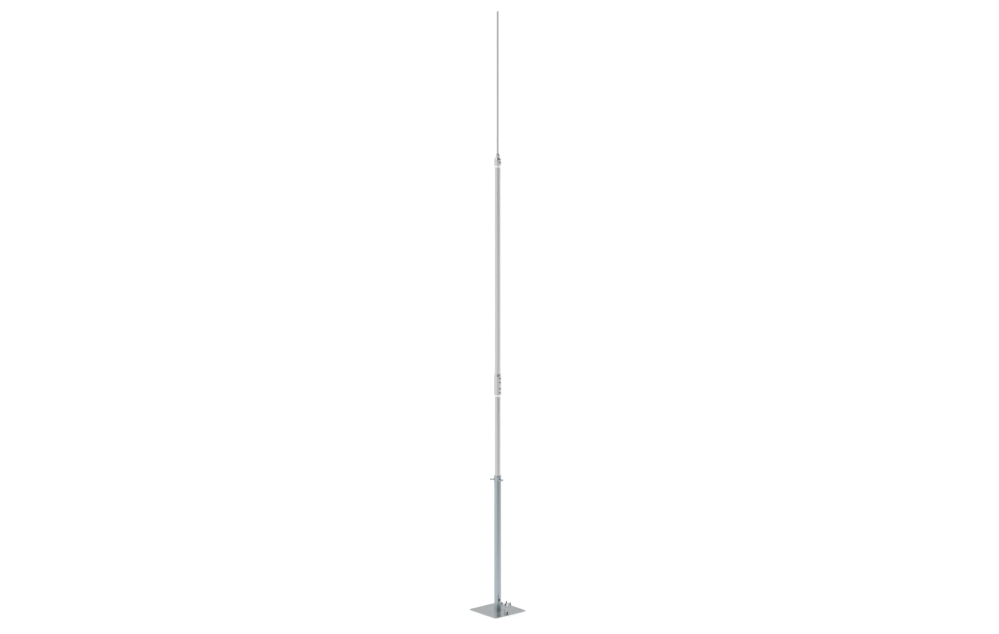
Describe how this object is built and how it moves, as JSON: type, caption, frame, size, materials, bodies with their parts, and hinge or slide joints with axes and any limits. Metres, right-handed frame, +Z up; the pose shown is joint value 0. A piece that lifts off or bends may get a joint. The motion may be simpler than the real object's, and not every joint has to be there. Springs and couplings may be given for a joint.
{
  "type": "lightning rod mast",
  "caption": "Tall mast: square base plate, galvanised foot tube with a screw clamp collar, sleeved aluminium tubes, a slim air rod held by a head cap, and an earth clamp at the foot.",
  "frame": {"origin": "centre of the base plate's underside, where the plate meets the ground", "axes": "+Z up along the mast, +X towards the side with the sleeve and cap screws, the outlet slot and the earth terminal, +Y completes a right-handed frame"},
  "size_m": [0.365, 0.36, 5.5],
  "materials": {
    "galvanised_steel": "hot-dip galvanised, faint spangle, semi-gloss",
    "aluminium": "satin, fine lines along the tubes and turned rings on the sleeve and cap",
    "stainless_steel": "plain bright stainless"
  },
  "bodies": {
    "root": {"base_plate": "galvanised_steel", "foot_tube": "galvanised_steel", "foot_weld": "galvanised_steel", "clamp_collar": "galvanised_steel", "earth_post": "galvanised_steel", "earth_post_weld": "galvanised_steel", "clamp_lower_plate": "galvanised_steel", "clamp_upper_plate": "galvanised_steel", "lower_mast_tube": "aluminium", "coupling_sleeve": "aluminium", "upper_mast_tube": "aluminium", "head_cap": "aluminium", "air_rod": "aluminium", "collar_screw_1": "stainless_steel", "collar_screw_2": "stainless_steel", "collar_screw_3": "stainless_steel", "collar_nut_1": "stainless_steel", "collar_nut_2": "stainless_steel", "collar_nut_3": "stainless_steel", "sleeve_screw_1": "stainless_steel", "sleeve_screw_2": "stainless_steel", "sleeve_screw_3": "stainless_steel", "sleeve_screw_4": "stainless_steel", "cap_screw": "stainless_steel", "rod_screw": "stainless_steel", "clamp_bolt_1": "stainless_steel", "clamp_bolt_2": "stainless_steel", "clamp_bolt_3": "stainless_steel", "clamp_bolt_4": "stainless_steel", "clamp_nut_1": "stainless_steel", "clamp_nut_2": "stainless_steel", "clamp_nut_3": "stainless_steel", "clamp_nut_4": "stainless_steel"}
  },
  "joints": []
}
